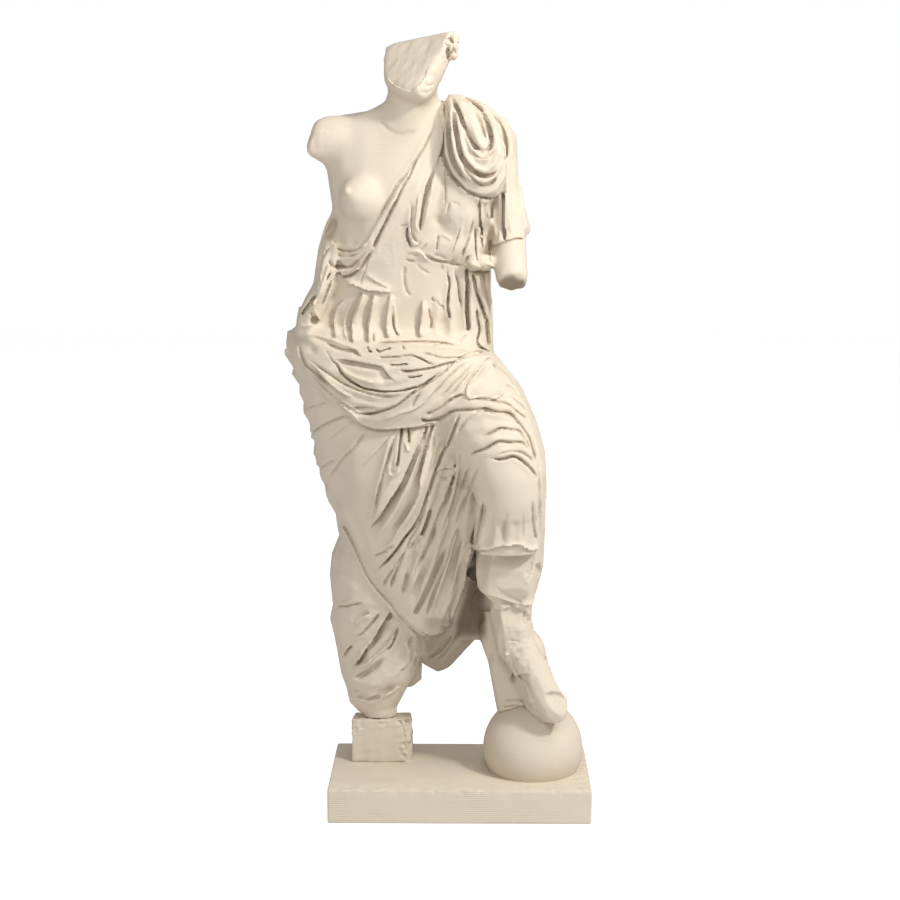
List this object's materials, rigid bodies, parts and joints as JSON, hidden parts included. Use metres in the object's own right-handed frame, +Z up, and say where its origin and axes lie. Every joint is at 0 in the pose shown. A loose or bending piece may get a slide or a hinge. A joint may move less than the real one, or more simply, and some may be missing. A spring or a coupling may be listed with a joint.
{
  "type": "goddess statue",
  "caption": "Desktop copy of a broken classical goddess with her left foot raised on a globe, on a rough block and a rectangular plinth.",
  "frame": {"origin": "centre of the plinth's underside", "axes": "+Z up along the height, +X to the viewer's right along the plinth's long side, +Y away from the viewer"},
  "size_m": [0.12, 0.0796, 0.3039],
  "materials": {
    "figure_polymer": "matte, with fine printed layer lines",
    "globe_polymer": "matte, with fine printed layer lines",
    "block_polymer": "matte, rough, with fine printed layer lines",
    "plinth_polymer": "matte, with fine printed layer lines"
  },
  "bodies": {
    "root": {"figure": "figure_polymer", "globe": "globe_polymer", "ankle_block": "block_polymer", "plinth": "plinth_polymer"}
  },
  "joints": []
}
